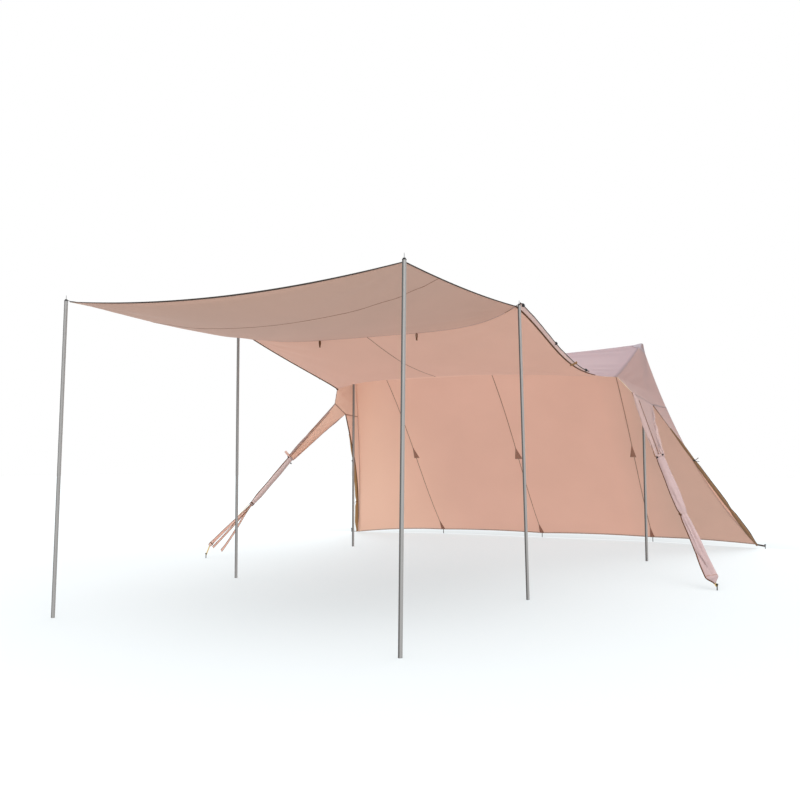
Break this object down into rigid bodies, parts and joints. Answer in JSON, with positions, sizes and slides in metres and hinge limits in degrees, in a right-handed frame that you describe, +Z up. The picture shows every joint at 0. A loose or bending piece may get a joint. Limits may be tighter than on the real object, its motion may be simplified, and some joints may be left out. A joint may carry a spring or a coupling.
{
  "type": "camping tarp shelter",
  "caption": "Ridge tarp shelter with a sloping rear wall, rolled corner doors and its front wall raised as a long awning on upright poles.",
  "frame": {"origin": "on the ground, at the middle of the shelter's box: between the two ridge poles in X and midway between the awning's front feet and the wall's pegs in Y", "axes": "+X along the ridge, to the right as seen from the awning; +Y towards the sloping wall; +Z up"},
  "size_m": [6.482, 8.2148, 2.6305],
  "materials": {
    "cloth_outer": "matt coated woven polyester, pale pinkish lavender outside and peach inside",
    "cloth_awning": "matt coated woven polyester, rosy peach underside",
    "cloth_flap": "matt woven polyester with a dark bound edge",
    "cloth_roll": "soft rolled woven polyester",
    "cloth_roll_dark": "soft rolled woven polyester, olive brown",
    "webbing": "ribbed woven strap",
    "webbing_pale": "ribbed woven strap, yellowish",
    "pole": "satin grey tube",
    "cap": "black moulded cap with a dark steel spike",
    "peg": "dark forged peg",
    "peak_patch": "doubled reinforcing patch"
  },
  "bodies": {
    "root": {"far_door_roll_left": "cloth_roll_dark", "far_door_roll_right": "cloth_roll_dark", "far_stake_left_peg": "peg", "far_stake_left_strap": "webbing", "far_stake_right_peg": "peg", "far_stake_right_strap": "webbing", "far_wall_middle": "cloth_outer", "far_wall_side_left": "cloth_outer", "far_wall_side_right": "cloth_outer", "front_canopy": "cloth_awning", "front_corner_strap_left": "webbing", "front_corner_strap_right": "webbing", "front_pole_left": "pole", "front_pole_right": "pole", "front_pole_tip_left": "cap", "front_pole_tip_right": "cap", "gable_far_border_left": "cloth_outer", "gable_far_border_right": "cloth_outer", "gable_head_left": "cloth_outer", "gable_head_right": "cloth_outer", "mid_corner_strap_left": "webbing", "mid_corner_strap_right": "webbing", "mid_pole_left": "pole", "mid_pole_right": "pole", "mid_pole_tip_left": "cap", "mid_pole_tip_right": "cap", "near_corner_strip_left": "cloth_outer", "near_corner_strip_right": "cloth_outer", "near_door_roll_left": "cloth_roll", "near_door_roll_right": "cloth_roll", "near_roof_slope": "cloth_outer", "near_stake_left_peg": "peg", "near_stake_left_strap": "webbing_pale", "near_stake_right_peg": "peg", "near_stake_right_strap": "webbing_pale", "rear_canopy": "cloth_awning", "ridge_peak_cap_left": "peak_patch", "ridge_peak_cap_right": "peak_patch", "ridge_pole_left": "pole", "ridge_pole_right": "pole", "side_flap_left": "cloth_flap", "side_flap_right": "cloth_flap", "wall_peg_left": "peg", "wall_peg_middle": "peg", "wall_peg_right": "peg"}
  },
  "joints": []
}
